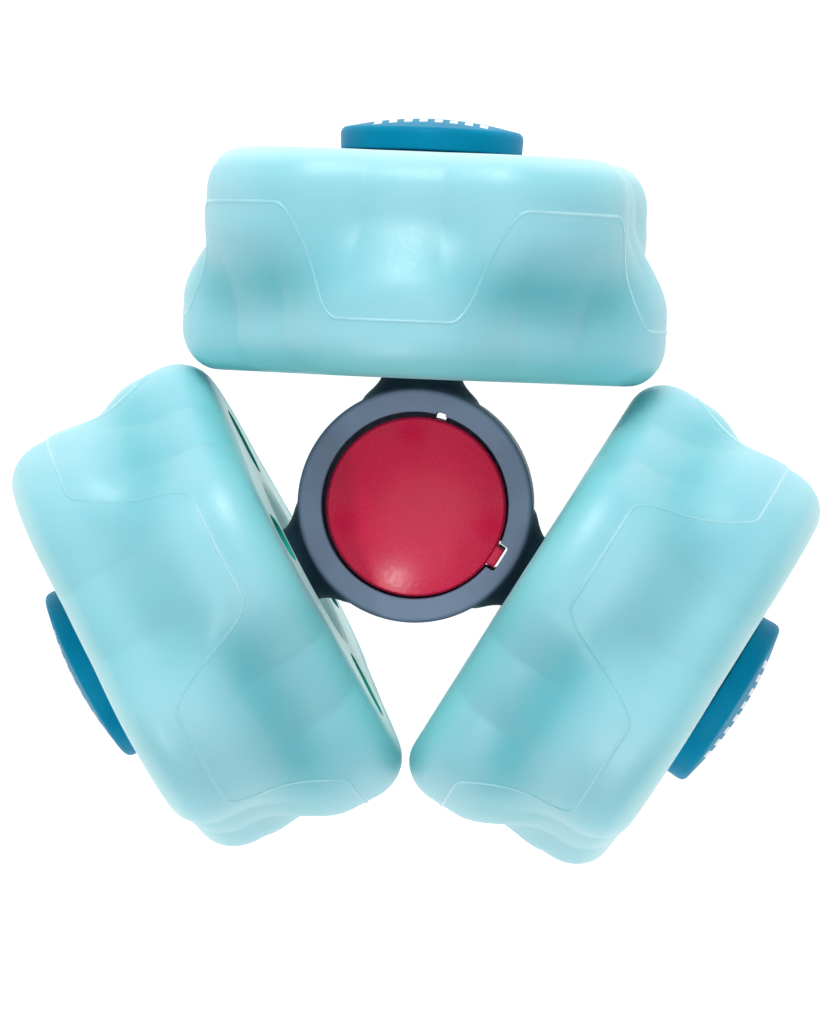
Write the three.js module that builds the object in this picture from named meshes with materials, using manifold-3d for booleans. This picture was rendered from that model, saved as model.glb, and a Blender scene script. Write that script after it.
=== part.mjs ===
// Three-wheel fidget toy: a hub ring with a sprung push button on each side, and three wave-tread wheels
// that each spin on their own axle arm. Millimetres, +Z up along the hub's axis, origin at its centre.
import * as THREE from "three";
import { mergeVertices } from "three/addons/utils/BufferGeometryUtils.js";
import Module from "manifold-3d";

const wasm = await Module();
wasm.setup();

// ---- driving dimensions ------------------------------------------------------------------------------

const FIT = 0.1; // gap that stands for a press or a light push fit

const RING = { outer: 10.55, bore: 8.4, halfHeight: 5.4, edge: 0.5 };
const WEB = { half: 0.5, bossRadius: 1.5, bossHalf: 1.1 };
const KEYWAY = { angle: -30, width: 2.5, reach: 9.15 };
const RELIEF = { angle: 76.4, width: 0.9, reach: 8.85 };

const BUTTON = {
  radius: 8.15,
  skirtInside: 7.1,
  skirtBottom: 1.6,
  rim: 4.85, // where the dome starts
  apex: 6.7,
  sphere: 20, // radius the dome is struck with
  roof: 4.7, // height of the cavity under the dome
  keyWidth: 1.85,
  keyReach: 8.8,
};
const HOOK = { from: 3.8, to: 4.8, width: 1.6, nib: 0.55, nibHeight: 0.55, play: 0.1 };
const HOOK_WINDOW = { from: 3.6, to: 5.0, width: 2.2 };
const SPRING = { coil: 2.4, wire: 0.25, turns: 3 };

const ARM = { neck: 3.5, shoulder: 12.85, axle: 2.45, end: 30, hole: 1.35, holeBottom: 22 };

const BEARING = { bore: 2.55, innerLand: 4.2, outerLand: 6.4, outside: 7.95, width: 5 };
const BALL = { count: 7, radius: 1.3, pitch: 5.3, groove: 0.6, grooveHalf: 1.2 };
const SEAT = BEARING.outside + FIT;
const BEARING_AT = { inner: -6, outer: 6 }; // bearing centres, outwards from the wheel's middle

const WHEEL = {
  distance: 21.4, // hub axis to the middle of each wheel
  half: 10, // half the wheel's width
  hollow: 18.6, // tread radius in the hollows
  crest: 21.9, // tread radius on the lobes
  corner: 3.9, // axial depth of the rounded shoulder
  drop: 3.4, // radial depth of the rounded shoulder
  web: 6.9, // radius of the hole between the bearing seats
};
const LOBES = 4; // on each side, the two sides staggered by half a pitch
const LOBE_SLOPE = 2.3; // how squarely the lobes stand up around the wheel
const LOBE_REACH = 0.55; // radians from a lobe's crest to the crease at its foot
const CROSSOVER = 3.4; // half the width over which one side's lobes change into the other's
const POCKET = { from: 9.4, to: 15.9, width: 4.3, depth: 5.6 };

const WASHER = { inside: 1.6, outside: 3.7, thickness: 0.6 };
const SCREW = { shank: 1.25, head: 2.85, headHeight: 2, socket: 1.2, socketDepth: 1.2, tip: 23 };
const END_CAP = { radius: 8.3, gap: 0.35, rim: 2, dome: 1.05, boss: 4.2, dish: 7.4 };

// Where each wheel sits around the hub, and how far its lobes are turned about its own axle, in degrees.
const PLACES = [
  { name: "wheel_1", around: 90, phase: 5.7 },
  { name: "wheel_2", around: -30, phase: 15.5 },
  { name: "wheel_3", around: 210, phase: -13.2 },
];

const SEGMENTS = { tread: 48, hub: 36, seat: 20, core: 12 };

// ---- materials ---------------------------------------------------------------------------------------

const paint = (color, roughness, metalness = 0) =>
  new THREE.MeshStandardMaterial({ color, roughness, metalness });
const urethane = paint(0x8fd3dd, 0.35);
const slate = paint(0x69789a, 0.5);
const red = paint(0xcf2f55, 0.38);
const blue = paint(0x0a8fb8, 0.3);
const steel = paint(0xb9bec4, 0.25, 1);

// ---- solids ------------------------------------------------------------------------------------------

const degrees = (angle) => (angle * Math.PI) / 180;

// Revolves [along, radius] points about the +X axis.
function turned(points, segments) {
  const profile = points.map(([along, radius]) => new THREE.Vector2(radius, along));
  return new THREE.LatheGeometry(profile, segments).rotateZ(-Math.PI / 2);
}

// Closed ring from radius `inside` to `outside` between two places along the axis.
function ring(from, to, inside, outside, segments) {
  const corners = [[from, inside], [from, outside], [to, outside], [to, inside], [from, inside]];
  return turned(corners, segments);
}

function disc(from, to, radius, segments) {
  return turned([[from, 0], [from, radius], [to, radius], [to, 0]], segments);
}

const upright = (geometry) => geometry.rotateY(-Math.PI / 2); // +X axis to +Z axis

// Box from radius `from` to `to` along the direction `angle`, between two heights.
function radialBox(angle, from, to, width, bottom, top) {
  return new THREE.BoxGeometry(to - from, width, top - bottom)
    .translate((from + to) / 2, 0, (bottom + top) / 2)
    .rotateZ(degrees(angle));
}

function solid(geometry) {
  const bare = geometry.clone();
  bare.deleteAttribute("normal");
  bare.deleteAttribute("uv");
  const merged = mergeVertices(bare, 1e-4);
  return new wasm.Manifold(new wasm.Mesh({
    numProp: 3,
    vertProperties: merged.attributes.position.array,
    triVerts: new Uint32Array(merged.index.array),
  }));
}

function geometryOf(shape) {
  const mesh = shape.getMesh();
  return new THREE.BufferGeometry()
    .setAttribute("position", new THREE.BufferAttribute(mesh.vertProperties, 3))
    .setIndex(new THREE.BufferAttribute(mesh.triVerts, 1))
    .toNonIndexed();
}

const cut = (body, ...tools) => tools.reduce((left, tool) => left.subtract(solid(tool)), body);
const join = (body, ...others) => others.reduce((sum, other) => sum.add(solid(other)), body);

function add(group, name, geometry, material) {
  const mesh = new THREE.Mesh(geometry, material);
  mesh.name = name;
  group.add(mesh);
}

// ---- bearing parts, each along +X and centred at `at` -------------------------------------------------

const HALF_BEARING = BEARING.width / 2;

function outerRace(at) {
  const { outerLand, outside } = BEARING;
  return turned([
    [at - HALF_BEARING, outerLand],
    [at - HALF_BEARING, outside],
    [at + HALF_BEARING, outside],
    [at + HALF_BEARING, outerLand],
    [at + BALL.grooveHalf, outerLand],
    [at, outerLand + BALL.groove],
    [at - BALL.grooveHalf, outerLand],
    [at - HALF_BEARING, outerLand],
  ], SEGMENTS.seat);
}

function innerRace(at) {
  const { bore, innerLand } = BEARING;
  return turned([
    [at - HALF_BEARING, bore],
    [at - HALF_BEARING, innerLand],
    [at - BALL.grooveHalf, innerLand],
    [at, innerLand - BALL.groove],
    [at + BALL.grooveHalf, innerLand],
    [at + HALF_BEARING, innerLand],
    [at + HALF_BEARING, bore],
    [at - HALF_BEARING, bore],
  ], SEGMENTS.core);
}

// The balls in their cage: a narrow ring on the pitch circle that passes through every ball.
function ballCage(at) {
  let cage = solid(ring(at - 0.5, at + 0.5, BALL.pitch - 0.3, BALL.pitch + 0.3, BALL.count));
  for (let i = 0; i < BALL.count; i++) {
    const angle = (i * 2 * Math.PI) / BALL.count;
    const ball = new THREE.SphereGeometry(BALL.radius, 6, 3)
      .rotateX(angle + 0.2)
      .translate(at, BALL.pitch * Math.cos(angle), BALL.pitch * Math.sin(angle));
    cage = join(cage, ball);
  }
  return geometryOf(cage);
}

// ---- wheel -------------------------------------------------------------------------------------------

const smooth = (from, to, x) => {
  const t = Math.min(1, Math.max(0, (x - from) / (to - from)));
  return t * t * (3 - 2 * t);
};

// Tread radius on one side: side -1 is the inner side, whose lobes start at angle 0.
function sideRadius(angle, side) {
  const pitch = (2 * Math.PI) / LOBES;
  const start = side < 0 ? 0 : pitch / 2;
  const turned = (angle - start) / pitch;
  const off = Math.abs(turned - Math.round(turned)) * pitch; // from the nearest crest
  const dome = Math.max(0, 1 - (off / LOBE_REACH) ** 2.3) ** 0.72;
  const wave = 0.5 * (1 + Math.tanh(LOBE_SLOPE * Math.cos(LOBES * off)) / Math.tanh(LOBE_SLOPE));
  return WHEEL.hollow + (WHEEL.crest - WHEEL.hollow) * (0.55 * dome + 0.45 * wave);
}

function treadRadius(along, angle) {
  const share = smooth(-CROSSOVER, CROSSOVER, along);
  return sideRadius(angle, -1) * (1 - share) + sideRadius(angle, 1) * share;
}

// Point of the rounded shoulder on one side: t runs from 0 at the flat face to 1 at the tread.
function shoulder(angle, side, t) {
  const turn = (t * Math.PI) / 2;
  const along = WHEEL.half - WHEEL.corner * (1 - Math.cos(turn));
  return [side * along, sideRadius(angle, side) - WHEEL.drop * (1 - Math.sin(turn))];
}

// The wave tread as a lathe grid whose rows are moved to their true radius at every angle.
function treadBody() {
  const turns = [0, 0.3, 0.6, 1];
  const treadAt = [-4.2, -2.2, 0, 2.2, 4.2];
  const rows = [
    () => [-WHEEL.half, 0],
    ...turns.map((t) => (angle) => shoulder(angle, -1, t)),
    ...treadAt.map((along) => (angle) => [along, treadRadius(along, angle)]),
    ...turns.toReversed().map((t) => (angle) => shoulder(angle, 1, t)),
    () => [WHEEL.half, 0],
  ];
  const grid = turned(rows.map((row) => row(0)), SEGMENTS.tread);
  const position = grid.attributes.position;
  for (let i = 0; i <= SEGMENTS.tread; i++) {
    const angle = ((i % SEGMENTS.tread) * 2 * Math.PI) / SEGMENTS.tread;
    rows.forEach((row, j) => {
      const [along, radius] = row(angle);
      position.setXYZ(i * rows.length + j, along, -radius * Math.sin(angle), radius * Math.cos(angle));
    });
  }
  return grid;
}

// Blind pocket that cores a lobe out from its own side face.
function pocket(side, angle) {
  const radius = POCKET.width / 2;
  const outline = new THREE.Shape();
  outline.absarc(POCKET.from + radius, 0, radius, Math.PI / 2, (3 * Math.PI) / 2, false);
  outline.absarc(POCKET.to - radius, 0, radius, -Math.PI / 2, Math.PI / 2, false);
  const depth = POCKET.depth + 1;
  return new THREE.ExtrudeGeometry(outline, { depth, bevelEnabled: false, curveSegments: 3 })
    .rotateY(Math.PI / 2) // outline's +X to -Z, depth to +X
    .rotateX(angle)
    .translate(side > 0 ? WHEEL.half - POCKET.depth : -WHEEL.half - 1, 0, 0);
}

function wheel() {
  const seatDepth = WHEEL.half - BEARING_AT.outer + HALF_BEARING + FIT;
  const body = cut(
    solid(treadBody()),
    disc(-WHEEL.half - 1, -WHEEL.half + seatDepth, SEAT, SEGMENTS.seat),
    disc(-WHEEL.half + 1, WHEEL.half - 1, WHEEL.web, SEGMENTS.seat),
    disc(WHEEL.half - seatDepth, WHEEL.half + 1, SEAT, SEGMENTS.seat),
  );
  const pockets = [];
  for (let i = 0; i < LOBES; i++) {
    const step = (i * 2 * Math.PI) / LOBES;
    pockets.push(pocket(-1, step), pocket(1, step + Math.PI / LOBES));
  }
  return geometryOf(cut(body, ...pockets));
}

// ---- parts on each axle, measured outwards from the wheel's middle -------------------------------------

const BEARING_OUTSIDE = BEARING_AT.outer + HALF_BEARING;
const HEAD_AT = BEARING_OUTSIDE + 2 * FIT + WASHER.thickness;

function washer() {
  const from = BEARING_OUTSIDE + FIT;
  return ring(from, from + WASHER.thickness, WASHER.inside, WASHER.outside, SEGMENTS.core);
}

function spacer() {
  const reach = BEARING_AT.outer - HALF_BEARING - FIT;
  return ring(-reach, reach, BEARING.bore, 3.7, SEGMENTS.core);
}

function axleScrew() {
  const top = HEAD_AT + SCREW.headHeight;
  const tip = SCREW.tip - WHEEL.distance;
  const body = turned([
    [tip, 0],
    [tip, SCREW.shank],
    [HEAD_AT, SCREW.shank],
    [HEAD_AT, SCREW.head],
    [top, SCREW.head],
    [top, 0],
  ], SEGMENTS.core);
  return geometryOf(cut(solid(body), disc(top - SCREW.socketDepth, top + 1, SCREW.socket, 6)));
}

function endCap() {
  const { radius, gap, rim, dome, boss, dish } = END_CAP;
  const base = WHEEL.half + gap;
  const rimTop = base + rim;
  const bore = SCREW.head + FIT;
  const roof = HEAD_AT + SCREW.headHeight + FIT;
  const crown = [0.35, 0.7].map((t) => [rimTop + dome * (1 - t * t), radius * 0.94 * t]);
  return turned([
    [roof, 0],
    [roof, bore],
    [HEAD_AT + 0.2, bore],
    [HEAD_AT + 0.2, boss],
    [base + 1, boss],
    [base + 1, dish],
    [base, dish],
    [base, radius],
    [rimTop - 0.4, radius],
    [rimTop, radius * 0.94],
    ...crown.toReversed(),
    [rimTop + dome, 0],
  ], SEGMENTS.seat);
}

// ---- hub ---------------------------------------------------------------------------------------------

// Arm, shoulder and axle in one piece with the ring.
function arm(around) {
  const profile = [
    [8.9, 0],
    [8.9, 5.3],
    [9.6, 5.05],
    [10.2, 4.5],
    [10.7, 4.05],
    [11.2, 3.7],
    [11.9, ARM.neck],
    [ARM.shoulder, ARM.neck],
    [ARM.shoulder, ARM.axle],
    [ARM.end, ARM.axle],
    [ARM.end, 0],
  ];
  return turned(profile, SEGMENTS.core).rotateZ(degrees(around));
}

const hookAngles = (side) => [0, 120, 240].map((angle) => angle + (side > 0 ? 30 : 90));

function hubFrame() {
  const { outer, bore, halfHeight, edge } = RING;
  const body = turned([
    [-halfHeight, 0],
    [-halfHeight, outer - edge],
    [-halfHeight + edge * 0.3, outer - edge * 0.3],
    [-halfHeight + edge, outer],
    [halfHeight - edge, outer],
    [halfHeight - edge * 0.3, outer - edge * 0.3],
    [halfHeight, outer - edge],
    [halfHeight, 0],
  ], SEGMENTS.hub);
  const withArms = join(solid(upright(body)), ...PLACES.map((place) => arm(place.around)));
  const beyond = halfHeight + 1;
  const slot = ({ angle, width, reach }) => radialBox(angle, 7.6, reach, width, -beyond, beyond);
  const screwHole = (place) =>
    disc(ARM.holeBottom, ARM.end + 1, ARM.hole, 12).rotateZ(degrees(place.around));
  const hookWindow = (angle) =>
    radialBox(angle, HOOK_WINDOW.from, HOOK_WINDOW.to, HOOK_WINDOW.width, -2, 2);
  const hollowed = cut(
    withArms,
    upright(disc(WEB.half, beyond, bore, SEGMENTS.hub)),
    upright(disc(-beyond, -WEB.half, bore, SEGMENTS.hub)),
    slot(KEYWAY),
    slot(RELIEF),
    ...PLACES.map(screwHole),
    ...[...hookAngles(1), ...hookAngles(-1)].map(hookWindow),
  );
  const boss = upright(disc(-WEB.bossHalf, WEB.bossHalf, WEB.bossRadius, SEGMENTS.core));
  return geometryOf(join(hollowed, boss));
}

// Domed button with a key on its skirt and three snap hooks; side is 1 above the web, -1 below it.
function pushButton(side) {
  const { radius, skirtInside, skirtBottom, rim, apex, sphere, roof } = BUTTON;
  const domeAt = (r) => apex - sphere + Math.sqrt(sphere * sphere - r * r);
  const dome = [0.98, 0.8, 0.55, 0.28].map((t) => [domeAt(radius * t), radius * t]);
  const shell = turned([
    [roof, 0],
    [roof, 5.2],
    [skirtBottom + 0.5, skirtInside],
    [skirtBottom, skirtInside],
    [skirtBottom, radius],
    [rim - 0.1, radius],
    ...dome,
    [apex, 0],
  ], 24);
  const nibTop = -WEB.half - HOOK.play;
  const nibBottom = nibTop - HOOK.nibHeight;
  const hooks = hookAngles(side).flatMap((angle) => [
    radialBox(side * angle, HOOK.from, HOOK.to, HOOK.width, nibBottom, roof + 0.3),
    radialBox(side * angle, HOOK.to - 0.1, HOOK.to + HOOK.nib, HOOK.width, nibBottom, nibTop),
  ]);
  const key = radialBox(side * KEYWAY.angle, 7.5, BUTTON.keyReach, BUTTON.keyWidth, skirtBottom, rim);
  const above = geometryOf(join(solid(upright(shell)), key, ...hooks));
  return side > 0 ? above : above.rotateX(Math.PI);
}

function buttonSpring(side) {
  const { coil, wire, turns } = SPRING;
  const bottom = WEB.half + wire + 0.02;
  const top = BUTTON.roof - wire - 0.02;
  const points = [];
  for (let i = 0; i <= 8 * turns; i++) {
    const angle = (i * 2 * Math.PI) / 8;
    const height = bottom + ((top - bottom) * i) / (8 * turns);
    points.push(new THREE.Vector3(coil * Math.cos(angle), coil * Math.sin(angle), height));
  }
  const outline = new THREE.Shape();
  outline.absarc(0, 0, wire, 0, 2 * Math.PI, false);
  const wound = new THREE.ExtrudeGeometry(outline, {
    steps: 8 * turns,
    curveSegments: 3,
    bevelEnabled: false,
    extrudePath: new THREE.CatmullRomCurve3(points),
  });
  return side > 0 ? wound : wound.rotateX(Math.PI);
}

// ---- assembly ----------------------------------------------------------------------------------------

const toy = new THREE.Group();

add(toy, "hub_frame", hubFrame(), slate);
for (const [label, side] of [["top", 1], ["bottom", -1]]) {
  add(toy, `button_${label}`, pushButton(side), red);
  add(toy, `button_spring_${label}`, buttonSpring(side), steel);
}

for (const { name, around, phase } of PLACES) {
  const axle = new THREE.Group();
  axle.rotation.z = degrees(around);
  axle.position.set(
    WHEEL.distance * Math.cos(degrees(around)),
    WHEEL.distance * Math.sin(degrees(around)),
    0,
  );
  const spun = new THREE.Group();
  spun.rotation.x = degrees(-phase);
  axle.add(spun);
  toy.add(axle);

  add(axle, `${name}_spacer`, spacer(), steel);
  add(axle, `${name}_washer`, washer(), steel);
  add(axle, `${name}_axle_screw`, axleScrew(), steel);
  add(axle, `${name}_end_cap`, endCap(), blue);
  add(spun, name, wheel(), urethane);
  for (const [label, at] of Object.entries(BEARING_AT)) {
    const prefix = `${name}_${label}_bearing`;
    add(spun, `${prefix}_outer_race`, outerRace(at), steel);
    add(axle, `${prefix}_inner_race`, innerRace(at), steel);
    add(axle, `${prefix}_balls`, ballCage(at), steel);
  }
}

export default toy;
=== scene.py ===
"""Looks of the three-wheel fidget toy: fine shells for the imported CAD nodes, materials, light, camera."""

import math

import bmesh
import bpy
import numpy as np
from mathutils import Matrix, Vector

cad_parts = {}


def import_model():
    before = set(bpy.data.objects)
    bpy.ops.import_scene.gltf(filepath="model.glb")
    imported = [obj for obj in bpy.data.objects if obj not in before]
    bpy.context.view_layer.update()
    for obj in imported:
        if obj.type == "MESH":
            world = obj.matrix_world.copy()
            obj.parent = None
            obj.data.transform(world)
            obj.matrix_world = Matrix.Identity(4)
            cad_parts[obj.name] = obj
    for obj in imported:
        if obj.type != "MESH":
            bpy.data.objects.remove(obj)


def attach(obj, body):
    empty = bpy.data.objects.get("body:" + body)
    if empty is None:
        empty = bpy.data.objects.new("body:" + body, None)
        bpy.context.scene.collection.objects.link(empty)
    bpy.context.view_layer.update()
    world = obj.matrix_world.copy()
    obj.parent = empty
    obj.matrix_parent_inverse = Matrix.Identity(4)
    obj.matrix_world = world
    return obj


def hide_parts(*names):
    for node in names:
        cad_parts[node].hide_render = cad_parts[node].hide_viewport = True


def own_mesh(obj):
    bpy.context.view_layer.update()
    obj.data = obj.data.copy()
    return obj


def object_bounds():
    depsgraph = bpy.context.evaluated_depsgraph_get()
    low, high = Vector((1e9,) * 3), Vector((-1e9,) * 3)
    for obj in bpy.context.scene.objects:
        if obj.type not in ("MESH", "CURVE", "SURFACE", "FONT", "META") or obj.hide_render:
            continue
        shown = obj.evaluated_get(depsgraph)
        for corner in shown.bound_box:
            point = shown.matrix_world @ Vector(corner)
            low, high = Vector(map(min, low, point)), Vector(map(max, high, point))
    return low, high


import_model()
cad_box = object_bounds()

MM = 0.001
PLACES = {  # wheel: angle of its arm around the hub, and how far its lobes are turned about its axle
    "wheel_1": (90, 5.7),
    "wheel_2": (-30, 15.5),
    "wheel_3": (210, -13.2),
}
BEARINGS = {"inner": -6.0, "outer": 6.0}  # bearing centres, outwards from the wheel's middle
WHEEL_DISTANCE = 21.4
FINE = 1


# ---- mesh helpers, in millimetres until the last step ------------------------------------------------


def axle_frame(place, turned=True):
    """Matrix from a wheel's own frame (+X outwards, centre at 0) to the toy's frame."""
    around, phase = PLACES[place]
    turn = Matrix.Rotation(math.radians(around), 4, "Z")
    out = Matrix.Translation((WHEEL_DISTANCE, 0, 0))
    spin = Matrix.Rotation(math.radians(-phase if turned else 0), 4, "X")
    return turn @ out @ spin


UPRIGHT = Matrix.Rotation(math.radians(-90), 4, "Y")  # +X axis to +Z axis
UNDER = Matrix.Rotation(math.pi, 4, "X")  # the lower side is the upper side turned over about X


def new_object(name, points, faces, matrix=Matrix.Identity(4), sharp=35):
    mesh = bpy.data.meshes.new(name)
    placed = [(matrix @ Vector(p)) * MM for p in points]
    mesh.from_pydata(placed, [], faces)
    mesh.validate()
    work = bmesh.new()
    work.from_mesh(mesh)
    bmesh.ops.recalc_face_normals(work, faces=work.faces)
    work.to_mesh(mesh)
    work.free()
    obj = bpy.data.objects.new(name, mesh)
    bpy.context.collection.objects.link(obj)
    shade(obj, sharp)
    return obj


def shade(obj, sharp):
    obj.data.shade_smooth()
    obj.data.set_sharp_from_angle(angle=math.radians(sharp))


def soften(corners, steps=4):
    """Rounds a closed profile. Each corner is (along, radius) or (along, radius, corner radius)."""
    points = []
    count = len(corners)
    for i, corner in enumerate(corners):
        here = Vector(corner[:2])
        size = corner[2] if len(corner) > 2 else 0
        if size == 0:
            points.append(tuple(here))
            continue
        back = (Vector(corners[i - 1][:2]) - here).normalized()
        on = (Vector(corners[(i + 1) % count][:2]) - here).normalized()
        start, end = here + back * size, here + on * size
        for j in range(steps + 1):
            t = j / steps
            points.append(tuple((1 - t) ** 2 * start + 2 * t * (1 - t) * here + t * t * end))
    return points


def turned_mesh(profile, segments):
    """Points and faces of a closed profile of (along, radius) turned about +X."""
    points, faces = [], []
    rows = []
    for along, radius in profile:
        if radius < 1e-6:
            rows.append([len(points)])
            points.append((along, 0, 0))
            continue
        rows.append(list(range(len(points), len(points) + segments)))
        for i in range(segments):
            angle = 2 * math.pi * i / segments
            points.append((along, radius * math.sin(angle), radius * math.cos(angle)))
    for j, row in enumerate(rows):
        after = rows[(j + 1) % len(rows)]
        if len(row) == 1 and len(after) == 1:
            continue
        for i in range(segments):
            k = (i + 1) % segments
            if len(row) == 1:
                faces.append((row[0], after[i], after[k]))
            elif len(after) == 1:
                faces.append((row[i], after[0], row[k]))
            else:
                faces.append((row[i], after[i], after[k], row[k]))
    return points, faces


def turned(name, corners, segments, matrix=Matrix.Identity(4), sharp=35):
    points, faces = turned_mesh(soften(corners), int(segments * FINE))
    return new_object(name, points, faces, matrix, sharp)


def block(size_from, size_to, angle=0.0):
    """A box cutter between two corners, turned about Z."""
    (x0, y0, z0), (x1, y1, z1) = size_from, size_to
    points = [(x, y, z) for x in (x0, x1) for y in (y0, y1) for z in (z0, z1)]
    faces = [(0, 1, 3, 2), (4, 6, 7, 5), (0, 4, 5, 1), (2, 3, 7, 6), (0, 2, 6, 4), (1, 5, 7, 3)]
    return new_object("block", points, faces, Matrix.Rotation(math.radians(angle), 4, "Z"))


def bevelled(obj, width, segments=3):
    """Rounds a cutter's or a small block's edges."""
    bevel = obj.modifiers.new("bevel", "BEVEL")
    bevel.width = width * MM
    bevel.segments = segments
    apply(obj)
    return obj


def apply(obj):
    done = obj.evaluated_get(bpy.context.evaluated_depsgraph_get())
    mesh = bpy.data.meshes.new_from_object(done)
    obj.modifiers.clear()
    obj.data = mesh


def carve(obj, tools, operation="DIFFERENCE", sharp=35):
    """Cuts or joins each tool in turn, and drops the tools."""
    for tool in tools:
        step = obj.modifiers.new("carve", "BOOLEAN")
        step.operation = operation
        step.solver = "EXACT"
        step.object = tool
        apply(obj)
        bpy.data.objects.remove(tool)
    work = bmesh.new()
    work.from_mesh(obj.data)
    bmesh.ops.remove_doubles(work, verts=work.verts, dist=1e-7)
    work.to_mesh(obj.data)
    work.free()
    shade(obj, sharp)
    return obj


# ---- wheels ------------------------------------------------------------------------------------------

HALF = 10.0  # half the wheel's width
HOLLOW, CREST = 18.6, 21.9  # tread radius in the hollows and on the lobes
CORNER, DROP = 3.9, 3.4  # the rounded shoulder's depth along the axle, and towards it
SEAT, SEAT_END, SEAT_CHAMFER = 8.05, 3.4, 0.25  # bearing seat: radius, inner end and mouth
WEB_HOLE = 6.9  # radius of the hole between the two seats
CROSSOVER = 4.2  # half the width over which one side's lobes change into the other's
BULGE = 0.9  # how far the middle of a lobe reaches over to the other side
LOBE_REACH = math.radians(34)  # from a lobe's middle to its foot
LOBE_SLOPE = 1.6  # how squarely the lobes stand up around the wheel
LOBE_DOME = 0.55  # share of the dome in a lobe's outline, the rest being a wave
FACE_ROWS = (0.15, 0.4, 0.7, 0.9)  # rows of points across each flat face
POCKET_FROM, POCKET_TO = 9.4, 15.9  # a face pocket's two ends, outwards from the axle
SEAM_AT = 5.0  # how far the moulding seam runs from the wheel's middle along a lobe
SEAM_FLAT, SEAM_TURN = math.radians(13.5), math.radians(31.5)  # where the seam leaves a lobe's side
SEAM_HEIGHT, SEAM_HALF_WIDTH = 0.12, 0.17


def smooth(t):
    t = np.clip(t, 0, 1)
    return t * t * (3 - 2 * t)


def lobe_share(angle, side):
    """1 on the crest of a lobe and 0 at the bottom between lobes; the inner side's lobes start at angle 0."""
    start = 0 if side < 0 else math.pi / 4
    off = np.abs((angle - start + math.pi / 4) % (math.pi / 2) - math.pi / 4)
    dome = np.clip(1 - (off / LOBE_REACH) ** 2.3, 0, 1)
    wave = 0.5 * (1 + np.tanh(LOBE_SLOPE * np.cos(4 * off)) / math.tanh(LOBE_SLOPE))
    return LOBE_DOME * dome + (1 - LOBE_DOME) * wave


def side_radius(angle, side):
    return HOLLOW + (CREST - HOLLOW) * lobe_share(angle, side)


def tread_radius(along, angle):
    share = smooth((along - BULGE * np.cos(4 * angle) + CROSSOVER) / (2 * CROSSOVER))
    return side_radius(angle, -1) * (1 - share) + side_radius(angle, 1) * share


def seam_place(angle):
    """Where the moulding seam crosses the tread: out on one side's lobes, then over to the other's."""
    part = (angle + math.pi / 4) % (math.pi / 2) - math.pi / 4  # from the nearest inner lobe's middle
    return SEAM_AT * (2 * smooth((np.abs(part) - SEAM_FLAT) / (SEAM_TURN - SEAM_FLAT)) - 1)


def wheel_rows(angle):
    """(along, radius) of every row of the wheel's skin, one array entry for each angle."""
    one = np.ones_like(angle)
    lip = SEAT + SEAT_CHAMFER
    rows = [(-SEAT_END * one, WEB_HOLE * one), (-SEAT_END * one, SEAT * one)]
    rows += [((-HALF + SEAT_CHAMFER) * one, SEAT * one), (-HALF * one, lip * one)]
    face = side_radius(angle, -1) - DROP
    for t in FACE_ROWS:
        rows.append((-HALF * one, lip + (face - lip) * t))
    turns = np.linspace(0, math.pi / 2, 12)
    for turn in turns:
        rows.append(((-HALF + CORNER * (1 - math.cos(turn))) * one,
                     side_radius(angle, -1) - DROP * (1 - math.sin(turn))))
    seam = seam_place(angle)
    edge = HALF - CORNER
    for t in np.linspace(0, 1, 18)[1:-1]:
        along = -edge + (seam - SEAM_HALF_WIDTH * 2 + edge) * t
        rows.append((along, tread_radius(along, angle)))
    for shift, rise in ((-1, 0), (-0.5, 0.7), (0, 1), (0.5, 0.7), (1, 0)):
        along = seam + shift * SEAM_HALF_WIDTH
        rows.append((along, tread_radius(along, angle) + rise * SEAM_HEIGHT))
    for t in np.linspace(0, 1, 18)[1:-1]:
        start = seam + SEAM_HALF_WIDTH * 2
        along = start + (edge - start) * t
        rows.append((along, tread_radius(along, angle)))
    for turn in turns[::-1]:
        rows.append(((HALF - CORNER * (1 - math.cos(turn))) * one,
                     side_radius(angle, 1) - DROP * (1 - math.sin(turn))))
    face = side_radius(angle, 1) - DROP
    for t in FACE_ROWS[::-1]:
        rows.append((HALF * one, lip + (face - lip) * t))
    rows += [(HALF * one, lip * one), ((HALF - SEAT_CHAMFER) * one, SEAT * one)]
    rows += [(SEAT_END * one, SEAT * one), (SEAT_END * one, WEB_HOLE * one)]
    return rows


def pocket_tool(side, angle):
    """Round-ended cutter for the blind pocket that cores out a lobe."""
    half, start, stop, depth = 2.15, POCKET_FROM, POCKET_TO, 5.6
    outline = []
    for i in range(13):
        turn = math.pi * i / 12
        outline.append((half * math.cos(turn), stop - half + half * math.sin(turn)))
    for i in range(13):
        turn = math.pi + math.pi * i / 12
        outline.append((half * math.cos(turn), start + half + half * math.sin(turn)))
    count = len(outline)
    near, far = side * (HALF + 1), side * (HALF - depth)
    points = [(near, y, z) for y, z in outline] + [(far, y, z) for y, z in outline]
    faces = [tuple(range(count)), tuple(range(2 * count - 1, count - 1, -1))]
    faces += [(i, (i + 1) % count, count + (i + 1) % count, count + i) for i in range(count)]
    return new_object("pocket", points, faces, Matrix.Rotation(-angle, 4, "X"))


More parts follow.
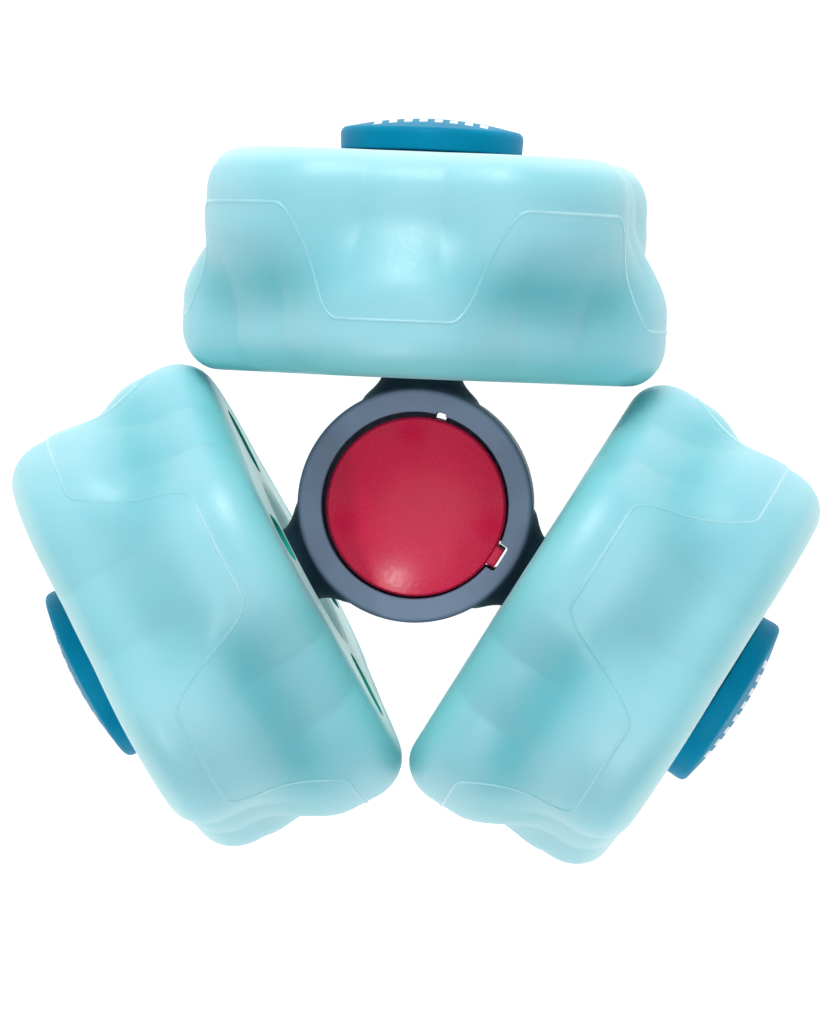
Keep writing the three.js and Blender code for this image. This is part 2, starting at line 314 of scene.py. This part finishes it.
def wheel_body(name):
    segments = int(320 * FINE)
    angle = np.arange(segments) * 2 * math.pi / segments
    rows = wheel_rows(angle)
    points = []
    for along, radius in rows:
        points += list(zip(along, radius * np.sin(angle), radius * np.cos(angle)))
    faces = []
    for j in range(len(rows)):
        k = (j + 1) % len(rows)
        for i in range(segments):
            n = (i + 1) % segments
            faces.append((j * segments + i, k * segments + i, k * segments + n, j * segments + n))
    body = new_object(name + "_tread", points, faces, sharp=40)
    tools = []
    for i in range(4):
        tools += [pocket_tool(-1, i * math.pi / 2), pocket_tool(1, (i + 0.5) * math.pi / 2)]
    carve(body, tools, sharp=40)
    paint_wheel(body)
    pockets = pocket_faces(body.data)
    body.data.transform(Matrix.Scale(MM, 4) @ axle_frame(name) @ Matrix.Scale(1 / MM, 4))
    body.data.update()
    return body, pockets


def paint_wheel(body):
    """Stores, at each point, the tints that the wheel's material mixes in: painted shade in the hollows and
    on the inner shoulder, painted light on the outer shoulder and round the bore, the seam and the sides.
    """
    mesh = body.data
    place = np.empty(len(mesh.vertices) * 3)
    mesh.vertices.foreach_get("co", place)
    place = place.reshape(-1, 3) / MM
    along = place[:, 0]
    radius = np.hypot(place[:, 1], place[:, 2])
    angle = np.arctan2(place[:, 1], place[:, 2])
    surface = tread_radius(np.clip(along, -6, 6), angle)
    hollow_shade = np.clip((CREST - surface) / (CREST - HOLLOW), 0, 1)
    # Painted shade: a darker teal where a lobe drops down to the other side's hollows, more so towards the
    # hub.
    hollow_shade = np.clip(1.7 * hollow_shade, 0, 1) * (1 - 0.75 * smooth((np.abs(along) - 1.5) / 5))
    hollow_shade *= 0.28 + 0.5 * smooth((2 - along) / 5)
    side = np.clip((np.abs(along) - 6.1) / 3.9, 0, 1)
    # Painted light: the faces round the bore, fully on the inner side and less on the outer, made lighter and
    # given a weak emission.
    inside = np.clip((surface - DROP - 0.6 - radius) / 1.5, 0, 1) * np.where(along < 0, 1.0, 0.3)
    shoulder = radius > surface - DROP - 1
    # Painted shade: a darker, saturated teal on the inner shoulder, towards the hub.
    rim = np.clip((-along - 7.6) / 2.2, 0, 1) * shoulder
    # Painted light: the outer shoulder made lighter, near white.
    pale_light = np.clip((along - 8.2) / 1.6, 0, 1) * shoulder
    seam = np.clip(1.25 - np.abs(along - seam_place(angle)) / SEAM_HALF_WIDTH, 0, 1)
    seam *= np.abs(radius - surface) < 0.4
    layers = {"hollow_shade": hollow_shade, "side": side, "inside": inside, "rim": rim, "pale_light": pale_light, "seam": seam}
    for label, values in layers.items():
        layer = mesh.attributes.new(label, "FLOAT", "POINT")
        layer.data.foreach_set("value", values.astype(np.float32))


def pocket_faces(mesh):
    """For every face, 1 where it lies down inside a pocket and 0 elsewhere."""
    inside = []
    for face in mesh.polygons:
        along, y, z = face.center / MM
        between = POCKET_FROM - 0.1 < math.hypot(y, z) < POCKET_TO + 0.1
        inside.append(int(between and abs(along) < HALF - 0.3))
    return inside


# ---- bearings, spacers and screws --------------------------------------------------------------------


def bearing(place, label, at):
    """One ball bearing: two grooved races and the caged balls."""
    still, spun = axle_frame(place, False), axle_frame(place)
    half, pitch, groove = 2.5, 5.3, 1.38  # half the width, the balls' circle and the grooves' radius
    arc = [math.radians(a) for a in range(-60, 61, 15)]
    outer = [(at - half, 6.4, 0.15), (at - half, 7.95, 0.3), (at + half, 7.95, 0.3), (at + half, 6.4, 0.15)]
    outer += [(at + groove * math.sin(-a), pitch + groove * math.cos(a) + 0.1) for a in arc]
    inner = [(at - half, 2.52, 0.15), (at - half, 4.2, 0.15)]
    inner += [(at + groove * math.sin(a), pitch - groove * math.cos(a) - 0.1) for a in arc]
    inner += [(at + half, 4.2, 0.15), (at + half, 2.52, 0.15)]
    prefix = f"{place}_{label}_bearing"
    races = (
        turned(prefix + "_outer", outer, 96, spun),
        turned(prefix + "_inner", inner, 72, still),
    )
    count, radius = 7, 1.3
    cage = turned(prefix + "_balls", [
        (at - 0.75, 5.12, 0.08), (at - 0.75, 5.48, 0.08), (at + 0.75, 5.48, 0.08), (at + 0.75, 5.12, 0.08),
    ], 98)
    work = bmesh.new()
    work.from_mesh(cage.data)
    for i in range(count):
        turn = 2 * math.pi * i / count
        centre = Vector((at, pitch * math.sin(turn), pitch * math.cos(turn))) * MM
        bmesh.ops.create_icosphere(work, subdivisions=3, radius=radius * MM,
                                   matrix=Matrix.Translation(centre))
    work.to_mesh(cage.data)
    work.free()
    cage.data.transform(Matrix.Scale(MM, 4) @ still @ Matrix.Scale(1 / MM, 4))
    shade(cage, 35)
    for piece, part, body in ((races[0], "outer_race", place), (races[1], "inner_race", "frame"),
                              (cage, "balls", place + "_balls")):
        dress(piece, body, "steel", f"{prefix}_{part}")


def axle_parts(place):
    still = axle_frame(place, False)
    spacer = turned(place + "_sleeve", [
        (-3.4, 2.55, 0.15), (-3.4, 3.7, 0.2), (3.4, 3.7, 0.2), (3.4, 2.55, 0.15)], 72, still)
    washer = turned(place + "_thrust_washer", [
        (8.6, 1.6, 0.08), (8.6, 3.7, 0.12), (9.2, 3.7, 0.12), (9.2, 1.6, 0.08)], 72, still)
    screw = turned(place + "_screw", [
        (1.6, 0), (1.6, 0.9), (1.95, 1.25), (9.3, 1.25), (9.3, 2.85, 0.15), (11.3, 2.85, 0.5), (11.3, 0)],
        64, still)
    tool = turned("socket", [(10.1, 0), (10.1, 1.2), (12, 1.2), (12, 0)], 6 / FINE, still)
    carve(screw, [tool])
    for piece, node in ((spacer, "spacer"), (washer, "washer"), (screw, "axle_screw")):
        dress(piece, "frame", "steel", f"{place}_{node}")


# The end cap's radius, where its skirt starts and ends along the axle, and how far its crown rises.
CAP = {"radius": 8.3, "base": 10.35, "rim": 12.35, "rise": 1.05}


def cap_height(radius):
    t = radius / (CAP["radius"] * 0.96)
    return CAP["rim"] + CAP["rise"] * (1 - t * t)


def end_cap(place):
    still = axle_frame(place, False)
    radius, base, rim = CAP["radius"], CAP["base"], CAP["rim"]
    crown = [(cap_height(r), r) for r in np.linspace(7.4, 0.0, 22)]
    profile = [(11.4, 0), (11.4, 2.95), (9.5, 2.95), (9.5, 4.2, 0.15), (base + 1, 4.2), (base + 1, 7.4),
               (base, 7.4, 0.1), (base, radius - 0.12, 0.2), (rim + 0.06, radius, 0.75)] + crown
    cap = turned(place + "_cap", profile, 160, still, sharp=40)
    dress(cap, "frame", "cap", f"{place}_end_cap")
    marks = []
    pitch, row_at, half_width = 1.36, 4.3, 0.36
    for i in range(8):  # two rows of plain printed dashes across the crown
        marks += [cap_mark((i - 3.5) * pitch, middle, half_width) for middle in (-row_at, row_at)]
    points, faces = [], []
    for these_points, these_faces in marks:
        start = len(points)
        points += these_points
        faces += [tuple(start + k for k in face) for face in these_faces]
    printed = new_object(place + "_cap_dashes", points, faces, still, sharp=50)
    finish(printed, "print")
    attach(printed, "frame")


def cap_mark(across, middle, half):
    """A thin printed dash that follows the crown; its long way runs along Z."""
    long, steps, thick = 1.0, 6, 0.05
    points, faces = [], []
    for lift in (-0.02, thick):
        for i in range(steps + 1):
            for j in range(steps + 1):
                y = across + half * (2 * i / steps - 1)
                z = middle + long * (2 * j / steps - 1)
                points.append((cap_height(math.hypot(y, z)) + lift, y, z))
    row = steps + 1
    layer = row * row
    for i in range(steps):
        for j in range(steps):
            a = i * row + j
            faces.append((a, a + 1, a + row + 1, a + row))
            faces.append((layer + a, layer + a + row, layer + a + row + 1, layer + a + 1))
    rim = [i * row for i in range(row)]
    rim += [steps * row + j for j in range(1, row)]
    rim += [i * row + steps for i in range(steps - 1, -1, -1)]
    rim += list(range(steps - 1, 0, -1))
    for a, b in zip(rim, rim[1:] + rim[:1]):
        faces.append((a, b, layer + b, layer + a))
    return points, faces


# ---- hub, buttons and springs ------------------------------------------------------------------------

KEY_ANGLE, RELIEF_ANGLE = -30.0, 76.4  # around the hub, of the key slot and the narrow relief notch


def hub():
    ring = turned("hub_ring", [
        (-5.4, 0), (-5.4, 10.55, 0.5), (5.4, 10.55, 0.5), (5.4, 0)], 200, UPRIGHT, sharp=40)
    arms = []
    for around, _ in PLACES.values():
        arms.append(turned("arm", [
            (8.9, 0), (8.9, 5.35), (9.25, 5.3), (9.6, 5.08), (9.95, 4.76), (10.3, 4.4), (10.7, 4.05),
            (11.1, 3.78), (11.5, 3.6), (12.0, 3.5), (12.85, 3.5, 0.12), (12.85, 2.45), (30, 2.45, 0.2),
            (30, 1.35), (22, 1.35), (21.4, 0),
        ], 96, Matrix.Rotation(math.radians(around), 4, "Z")))
    carve(ring, arms, "UNION")
    mouth = [(7, 0), (7, 8.5), (5.41, 8.5), (5.36, 8.45), (5.3, 8.4), (0.5, 8.4), (0.5, 0)]
    carve(ring, [
        turned("bore", mouth, 200, UPRIGHT),
        turned("bore", [(-along, radius) for along, radius in mouth], 200, UPRIGHT),
    ])
    carve(ring, [turned("boss", [(-1.1, 0), (-1.1, 1.5, 0.15), (1.1, 1.5, 0.15), (1.1, 0)], 48, UPRIGHT)],
          "UNION")
    tools = [
        bevelled(block((7.6, -1.25, -7), (9.15, 1.25, 7), KEY_ANGLE), 0.28),
        bevelled(block((7.6, -0.45, -7), (8.6, 0.45, 7), RELIEF_ANGLE), 0.08),
    ]
    for angle in range(30, 390, 60):
        tools.append(block((3.6, -1.1, -2), (5.0, 1.1, 2), angle))
    carve(ring, tools, sharp=40)
    # Painted shade and reflection: a dark teal on the arms, for the teal wheels' shadow and reflection on
    # them.
    place = np.array([v.co[:] for v in ring.data.vertices]) / MM
    reach = np.hypot(place[:, 0], place[:, 1])
    shade_and_reflection = 0.95 * np.clip((reach - 10.15) / 0.6, 0, 1)  # full on the arms, fading in over the ring's edge
    arm = ring.data.attributes.new("arm", "FLOAT", "POINT")
    arm.data.foreach_set("value", shade_and_reflection.astype(np.float32))
    dress(ring, "frame", "hub", "hub_frame")


BUTTON = {"apex": 6.7, "sphere": 20}  # the dome's height above the hub's middle, and its radius


def dome_height(radius):
    return BUTTON["apex"] - BUTTON["sphere"] + math.sqrt(BUTTON["sphere"] ** 2 - radius ** 2)


def button(label, side):
    flip = Matrix.Identity(4) if side > 0 else UNDER
    crown = [(dome_height(r), r) for r in np.linspace(7.85, 0.0, 34)]
    shell = turned("button_" + label + "_dome", [
        (4.7, 0), (4.7, 5.2), (2.1, 7.1), (1.6, 7.1, 0.1), (1.6, 8.08, 0.15), (4.72, 8.08, 0.12),
    ] + crown, 200, UPRIGHT)
    extras = [bevelled(block((7.5, -0.92, 1.6), (8.8, 0.92, 4.8), KEY_ANGLE * side), 0.14)]
    for i in range(3):
        angle = (120 * i + (30 if side > 0 else 90)) * side
        extras.append(block((3.8, -0.8, -1.15), (4.8, 0.8, 5), angle))
        extras.append(block((4.7, -0.8, -1.15), (5.35, 0.8, -0.6), angle))
    carve(shell, extras, "UNION")
    lean = Matrix.Translation(Vector((0.1, -0.13, 0)) * MM)  # the loose button sits a little off centre
    shell.data.transform(lean @ flip)
    dress(shell, "button_" + label, "button", "button_" + label)


def spring(label, side):
    """Round-wire coil between the hub's web and the button's roof."""
    turns, coil, wire = 3, 2.4, 0.25
    bottom, top = 0.5 + wire + 0.02, 4.7 - wire - 0.02
    steps, around = 40 * turns, 12
    points, faces = [], []
    rise = (top - bottom) / (2 * math.pi * turns)
    for i in range(steps + 1):
        angle = 2 * math.pi * turns * i / steps
        out = Vector((math.cos(angle), math.sin(angle), 0))
        way = Vector((-coil * math.sin(angle), coil * math.cos(angle), rise)).normalized()
        up = out.cross(way).normalized()
        centre = out * coil + Vector((0, 0, bottom + (top - bottom) * i / steps))
        for j in range(around):
            turn = 2 * math.pi * j / around
            points.append(tuple(centre + (out * math.cos(turn) + up * math.sin(turn)) * wire))
    for i in range(steps):
        for j in range(around):
            k = (j + 1) % around
            faces.append((i * around + j, i * around + k, (i + 1) * around + k, (i + 1) * around + j))
    faces.append(tuple(range(around)))
    faces.append(tuple(range((steps + 1) * around - 1, steps * around - 1, -1)))
    flip = UNDER if side < 0 else Matrix.Identity(4)
    coil_piece = new_object("button_" + label + "_coil", points, faces, flip)
    dress(coil_piece, "frame", "spring", "button_spring_" + label)
    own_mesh(coil_piece)


# ---- materials ---------------------------------------------------------------------------------------


class Nodes:
    """Short way to build a material's node tree."""

    def __init__(self, name):
        self.material = bpy.data.materials.new(name)
        self.material.use_nodes = True
        self.tree = self.material.node_tree
        self.shader = self.tree.nodes["Principled BSDF"]
        self.place = self.add("ShaderNodeTexCoord").outputs["Object"]

    def add(self, kind, **values):
        node = self.tree.nodes.new(kind)
        for key, value in values.items():
            setattr(node, key, value)
        return node

    def link(self, source, target):
        self.tree.links.new(source, target)

    def attribute(self, name):
        return self.add("ShaderNodeAttribute", attribute_name=name).outputs["Fac"]

    def noise(self, scale, detail=3.0, roughness=0.5):
        node = self.add("ShaderNodeTexNoise")
        node.inputs["Scale"].default_value = scale
        node.inputs["Detail"].default_value = detail
        node.inputs["Roughness"].default_value = roughness
        self.link(self.place, node.inputs["Vector"])
        return node.outputs["Fac"]

    def stretch(self, value, low, high, to_low=0.0, to_high=1.0):
        node = self.add("ShaderNodeMapRange")
        for index, number in enumerate((low, high, to_low, to_high), start=1):
            node.inputs[index].default_value = number
        self.link(value, node.inputs[0])
        return node.outputs[0]

    def maths(self, operation, a, b):
        node = self.add("ShaderNodeMath", operation=operation)
        for socket, value in zip(node.inputs, (a, b)):
            if isinstance(value, (int, float)):
                socket.default_value = value
            else:
                self.link(value, socket)
        return node.outputs[0]

    def mix(self, share, a, b):
        node = self.add("ShaderNodeMix", data_type="RGBA", blend_type="MIX")
        for socket, value in ((node.inputs[0], share), (node.inputs[6], a), (node.inputs[7], b)):
            if isinstance(value, (int, float)):
                socket.default_value = value
            elif isinstance(value, tuple):
                socket.default_value = (*value, 1)
            else:
                self.link(value, socket)
        return node.outputs[2]

    def bump(self, height, strength, distance):
        node = self.add("ShaderNodeBump")
        node.inputs["Strength"].default_value = strength
        node.inputs["Distance"].default_value = distance
        self.link(height, node.inputs["Height"])
        self.link(node.outputs["Normal"], self.shader.inputs["Normal"])

    def set(self, **values):
        for key, value in values.items():
            self.shader.inputs[key.replace("_", " ")].default_value = value


def srgb(r, g, b):
    def linear(c):
        c /= 255
        return c / 12.92 if c <= 0.04045 else ((c + 0.055) / 1.055) ** 2.4
    return linear(r), linear(g), linear(b)


def urethane():
    m = Nodes("frosted_urethane")
    cloud = m.stretch(m.noise(90, 2), 0.3, 0.7)
    base = m.mix(cloud, srgb(142, 207, 219), srgb(156, 213, 224))
    # Painted shade: a darker teal in the hollows between lobes, where the slopes turn away from the light.
    base = m.mix(m.attribute("hollow_shade"), base, srgb(84, 186, 196))
    base = m.mix(m.maths("MULTIPLY", m.attribute("side"), 0.2), base, srgb(140, 222, 224))
    # Painted light: the outer shoulders made lighter, near white.
    base = m.mix(m.maths("MULTIPLY", m.attribute("pale_light"), 0.5), base, srgb(205, 240, 242))
    # Painted shade: a darker, saturated teal on the inner shoulders, towards the hub.
    base = m.mix(m.maths("MULTIPLY", m.attribute("rim"), 0.3), base, srgb(60, 190, 184))
    # Painted light: lighter faces round the bore, standing in for light coming through the urethane.
    base = m.mix(m.maths("MULTIPLY", m.attribute("inside"), 0.7), base, srgb(205, 236, 228))
    broken = m.stretch(m.noise(110, 1), 0.46, 0.6, 0.05, 0.4)
    base = m.mix(m.maths("MULTIPLY", m.attribute("seam"), broken), base, srgb(205, 238, 244))
    m.link(base, m.shader.inputs["Base Color"])
    # Painted light: a weak emission in the wheel's own colour on the faces round the bore.
    m.link(base, m.shader.inputs["Emission Color"])
    glow = m.maths("MULTIPLY", m.attribute("inside"), 0.16)
    m.link(glow, m.shader.inputs["Emission Strength"])
    grain = m.noise(2600, 2)
    m.link(m.stretch(grain, 0.3, 0.7, 0.36, 0.5), m.shader.inputs["Roughness"])
    m.set(Subsurface_Weight=0.55, Subsurface_Scale=0.004, Coat_Weight=0.15, Coat_Roughness=0.35)
    m.shader.inputs["Subsurface Radius"].default_value = (0.85, 1.0, 1.0)
    m.bump(grain, 0.12, 0.00004)
    return m.material


def moulded(name, dark, light, rough, grain_scale, grain, shade_and_reflection=None, **extra):
    """Moulded plastic: two near tones in soft clouds, and a fine grain in roughness and bump.

    tint is (attribute, colour): the colour takes over where the attribute is high.
    """
    m = Nodes(name)
    cloud = m.stretch(m.noise(160, 4, 0.6), 0.3, 0.7)
    base = m.mix(cloud, dark, light)
    if shade_and_reflection:
        base = m.mix(m.attribute(shade_and_reflection[0]), base, shade_and_reflection[1])
    m.link(base, m.shader.inputs["Base Color"])
    fine = m.noise(grain_scale, 3, 0.6)
    m.link(m.stretch(fine, 0.25, 0.75, rough[0], rough[1]), m.shader.inputs["Roughness"])
    m.bump(fine, grain, 0.00005)
    m.set(**extra)
    return m.material


def metal(name, tone, rough):
    m = Nodes(name)
    m.link(m.mix(m.noise(700, 3), tuple(0.85 * c for c in tone), tone), m.shader.inputs["Base Color"])
    m.link(m.stretch(m.noise(1900, 4, 0.7), 0.2, 0.8, rough[0], rough[1]), m.shader.inputs["Roughness"])
    m.bump(m.noise(3000, 2), 0.1, 0.00002)
    m.set(Metallic=1.0)
    return m.material


MATERIALS = {
    "wheel": urethane(),
    # The hub's arms take a dark teal: painted shade and painted reflection of the wheels.
    "hub": moulded("slate_plastic", srgb(104, 120, 146), srgb(116, 132, 158), (0.42, 0.6), 2400, 0.25,
                   ("arm", srgb(4, 50, 66))),
    "button": moulded("red_plastic", srgb(216, 18, 66), srgb(226, 24, 73), (0.22, 0.34), 3000, 0.3,
                      Specular_IOR_Level=0.4),
    "cap": moulded("blue_plastic", srgb(0, 128, 166), srgb(0, 142, 182), (0.38, 0.5), 2600, 0.12,
                   Specular_IOR_Level=0.06),
    # Painted shade: the darker teal lining the pockets, for the shade down in them.
    "pocket": moulded("shaded_urethane", srgb(0, 158, 140), srgb(6, 172, 154), (0.45, 0.6), 2600, 0.12,
                      Specular_IOR_Level=0.2),
    "print": moulded("white_print", srgb(226, 236, 240), srgb(240, 246, 248), (0.5, 0.65), 3000, 0.1),
    "steel": metal("ground_steel", (0.62, 0.63, 0.65), (0.2, 0.38)),
    "spring": metal("spring_wire", (0.5, 0.51, 0.53), (0.25, 0.45)),
}


def finish(piece, material):
    piece.data.materials.clear()
    piece.data.materials.append(MATERIALS[material])


def dress(piece, body, material, node):
    finish(piece, material)
    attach(piece, body)
    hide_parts(node)


# ---- the toy -----------------------------------------------------------------------------------------

hub()
for label, side in (("top", 1), ("bottom", -1)):
    button(label, side)
    spring(label, side)
for place in PLACES:
    body, pockets = wheel_body(place)
    dress(body, place, "wheel", place)
    # The pocket faces get the painted shade of the pocket material.
    body.data.materials.append(MATERIALS["pocket"])
    body.data.polygons.foreach_set("material_index", pockets)
    axle_parts(place)
    end_cap(place)
    for label, at in BEARINGS.items():
        bearing(place, label, at)

# ---- floor, light and camera -------------------------------------------------------------------------


def floor():
    level = cad_box[0][2] - 0.0002
    reach = 3.0
    mesh = bpy.data.meshes.new("floor")
    corners = [(-reach, -reach, level), (reach, -reach, level), (reach, reach, level), (-reach, reach, level)]
    mesh.from_pydata(corners, [], [(0, 1, 2, 3)])
    sheet = bpy.data.objects.new("floor", mesh)
    bpy.context.collection.objects.link(sheet)
    paper = Nodes("white_paper")
    tone = paper.mix(paper.noise(40), (0.3, 0.3, 0.3), (0.33, 0.33, 0.33))
    paper.link(tone, paper.shader.inputs["Base Color"])
    paper.set(Roughness=0.9, Emission_Strength=0.93)
    paper.shader.inputs["Emission Color"].default_value = (1, 1, 1, 1)
    mesh.materials.append(paper.material)


def lamp(name, place, size, power):
    data = bpy.data.lights.new(name, "AREA")
    data.shape = "DISK"
    data.size = size
    data.energy = power
    obj = bpy.data.objects.new(name, data)
    obj.location = place
    obj.rotation_euler = (-Vector(place)).to_track_quat("-Z", "Y").to_euler()
    bpy.context.collection.objects.link(obj)


def world():
    backdrop = bpy.data.worlds.new("studio")
    backdrop.use_nodes = True
    sky = backdrop.node_tree.nodes["Background"]
    sky.inputs["Color"].default_value = (1, 1, 1, 1)
    sky.inputs["Strength"].default_value = 0.42
    bpy.context.scene.world = backdrop


def camera():
    height, across, along, roll = 597.4, 19.5, 14.5, math.radians(2.4)
    pixels_per_mm, hub_from_middle = 11.06, (-2.2, 8.0)  # the image taken as 838 by 1024
    place = Vector((across, along, height)) * MM
    back = place.normalized()
    up = Vector((-math.sin(roll), math.cos(roll), 0))
    right = up.cross(back).normalized()
    up = back.cross(right)
    aim = -(right * hub_from_middle[0] + up * hub_from_middle[1]) * (MM / pixels_per_mm)
    lens = pixels_per_mm * place.length / MM * 36 / 1024
    look = (place - aim).normalized()
    right = up.cross(look).normalized()
    up = look.cross(right)
    data = bpy.data.cameras.new("camera")
    data.lens = lens
    data.clip_start, data.clip_end = 0.05, 20
    obj = bpy.data.objects.new("camera", data)
    turn = Matrix((right, up, look)).transposed().to_4x4()
    obj.matrix_world = Matrix.Translation(place) @ turn
    bpy.context.collection.objects.link(obj)
    bpy.context.scene.camera = obj


floor()
world()
lamp("softbox_key", (-0.1, 0.85, 0.6), 0.5, 6.8)
lamp("softbox_front", (0.1, -0.2, 1.0), 1.1, 2.6)
lamp("softbox_low", (-0.12, -0.43, 0.5), 0.06, 0.85)
camera()
bpy.context.scene.view_settings.view_transform = "Standard"
